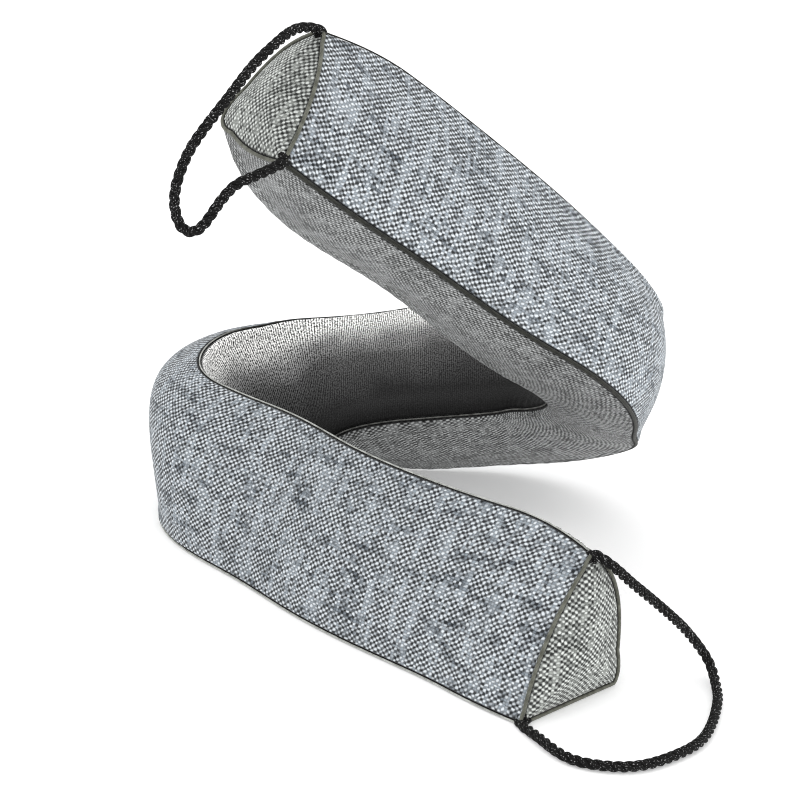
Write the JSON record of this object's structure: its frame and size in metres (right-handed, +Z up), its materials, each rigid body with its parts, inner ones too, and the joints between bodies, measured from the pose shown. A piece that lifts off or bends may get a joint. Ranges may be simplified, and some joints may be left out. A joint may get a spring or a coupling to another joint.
{
  "type": "draught excluder",
  "caption": "Long stuffed fabric door draught stopper with a rounded triangular section, piped seams and a rope loop at each end, folded into a zigzag.",
  "frame": {"origin": "under the middle of the cushion's bounding box, on the floor it lies on", "axes": "+Z up, -Y towards the viewer, +X to the viewer's right; the lowest run heads from the left fold towards -Y and +X"},
  "size_m": [0.3182, 0.3992, 0.3133],
  "materials": {
    "front_cloth": "matte melange plain weave, light and dark grey",
    "base_cloth": "matte melange plain weave, mid grey",
    "back_cloth": "charcoal fine ribbed cloth with a soft sheen",
    "end_cloth": "matte melange plain weave, neutral grey",
    "end_piping": "grey-olive cloth piping",
    "seam_piping": "dark cloth piping",
    "rope": "black laid polyester rope"
  },
  "bodies": {
    "root": {"front_body": "front_cloth", "back_panel": "back_cloth", "base_panel": "base_cloth", "end_panel_upper": "end_cloth", "end_panel_lower": "end_cloth", "end_piping_upper": "end_piping", "end_piping_lower": "end_piping", "piping_front_base": "seam_piping", "piping_front_back": "seam_piping", "piping_base_back": "seam_piping", "rope_loop_upper": "rope", "rope_loop_lower": "rope"}
  },
  "joints": []
}
